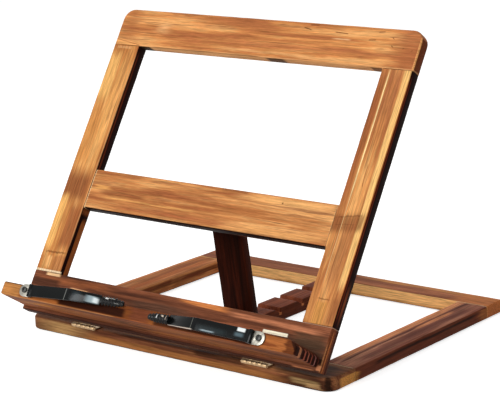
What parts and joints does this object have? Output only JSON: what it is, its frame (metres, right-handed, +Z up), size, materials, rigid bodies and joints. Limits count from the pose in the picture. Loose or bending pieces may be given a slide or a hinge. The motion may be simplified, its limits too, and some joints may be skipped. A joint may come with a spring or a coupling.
{
  "type": "book stand",
  "caption": "Folding wooden book stand: a flat base frame with a notched rack, a hinged book frame propped by a hinged leg, a ledge and two swivelling page clips.",
  "frame": {"origin": "on the table under the middle of the base, on the rack's underside", "axes": "+X to the reader's right along the hinges, +Y to the back, +Z up; the book faces -Y and up"},
  "size_m": [0.336, 0.3171, 0.2729],
  "materials": {
    "scorched_pine": "scorched and brown-stained pine, satin varnish",
    "dark_pine": "pine charred nearly black, satin varnish",
    "beech_tenon": "plain beech, glued",
    "brassed_steel": "thin brass-plated pressed steel, semi-bright",
    "zinc_plate": "zinc-plated steel, bright",
    "black_enamel": "gloss black enamel on spring steel",
    "black_rubber": "moulded, ribbed"
  },
  "bodies": {
    "base": {"base_front_rail": "scorched_pine", "base_back_rail": "scorched_pine", "base_side_rail_left": "scorched_pine", "base_side_rail_right": "scorched_pine", "notched_rack": "scorched_pine", "base_tenon_left_front": "beech_tenon", "base_tenon_left_back": "beech_tenon", "base_tenon_right_front": "beech_tenon", "base_tenon_right_back": "beech_tenon", "rack_tenon_front": "beech_tenon", "rack_tenon_back": "beech_tenon", "front_hinge_left_base_leaf": "brassed_steel", "front_hinge_left_base_leaf_screw_1": "brassed_steel", "front_hinge_left_base_leaf_screw_2": "brassed_steel", "front_hinge_left_pin": "brassed_steel", "front_hinge_right_base_leaf": "brassed_steel", "front_hinge_right_base_leaf_screw_1": "brassed_steel", "front_hinge_right_base_leaf_screw_2": "brassed_steel", "front_hinge_right_pin": "brassed_steel"},
    "book_frame": {"frame_top_rail": "scorched_pine", "frame_bottom_rail": "scorched_pine", "frame_middle_rail": "scorched_pine", "frame_stile_left": "scorched_pine", "frame_stile_right": "scorched_pine", "ledge": "scorched_pine", "frame_tenon_left_bottom": "beech_tenon", "frame_tenon_left_middle": "beech_tenon", "frame_tenon_left_top": "beech_tenon", "frame_tenon_right_bottom": "beech_tenon", "frame_tenon_right_middle": "beech_tenon", "frame_tenon_right_top": "beech_tenon", "front_hinge_left_frame_leaf": "brassed_steel", "front_hinge_left_frame_leaf_screw_1": "brassed_steel", "front_hinge_left_frame_leaf_screw_2": "brassed_steel", "front_hinge_right_frame_leaf": "brassed_steel", "front_hinge_right_frame_leaf_screw_1": "brassed_steel", "front_hinge_right_frame_leaf_screw_2": "brassed_steel", "leg_hinge_frame_leaf": "brassed_steel", "leg_hinge_frame_leaf_screw_1": "brassed_steel", "leg_hinge_frame_leaf_screw_2": "brassed_steel", "leg_hinge_pin": "brassed_steel", "ledge_screw_left": "zinc_plate", "ledge_screw_middle": "zinc_plate", "ledge_screw_right": "zinc_plate", "page_clip_left_screw": "zinc_plate", "page_clip_right_screw": "zinc_plate"},
    "support_leg": {"support_leg": "dark_pine", "leg_hinge_leg_leaf": "brassed_steel", "leg_hinge_leg_leaf_screw_1": "brassed_steel", "leg_hinge_leg_leaf_screw_2": "brassed_steel"},
    "page_clip_left": {"page_clip_left_plate": "zinc_plate", "page_clip_left_arm": "black_enamel", "page_clip_left_grip": "black_rubber"},
    "page_clip_right": {"page_clip_right_plate": "zinc_plate", "page_clip_right_arm": "black_enamel", "page_clip_right_grip": "black_rubber"}
  },
  "joints": [
    {"name": "book_frame_hinge", "type": "hinge", "parent": "base", "child": "book_frame", "pos_m": [0, -0.1365, 0.0131], "axis": [1, 0, 0], "range_deg": [0, 41]},
    {"name": "support_leg_hinge", "type": "hinge", "parent": "book_frame", "child": "support_leg", "pos_m": [0, -0.06138, 0.12946], "axis": [1, 0, 0], "range_deg": [-41, 0]},
    {"name": "page_clip_left_pivot", "type": "hinge", "parent": "book_frame", "child": "page_clip_left", "pos_m": [-0.1335, -0.17117, 0.04915], "axis": [0, -0.8437, 0.5369], "range_deg": [0, 90]},
    {"name": "page_clip_right_pivot", "type": "hinge", "parent": "book_frame", "child": "page_clip_right", "pos_m": [0.1263, -0.17117, 0.04915], "axis": [0, 0.8437, -0.5369], "range_deg": [0, 90]}
  ],
  "couplings": [
    {"joint": "support_leg_hinge", "follows": "book_frame_hinge", "ratio": -1}
  ]
}
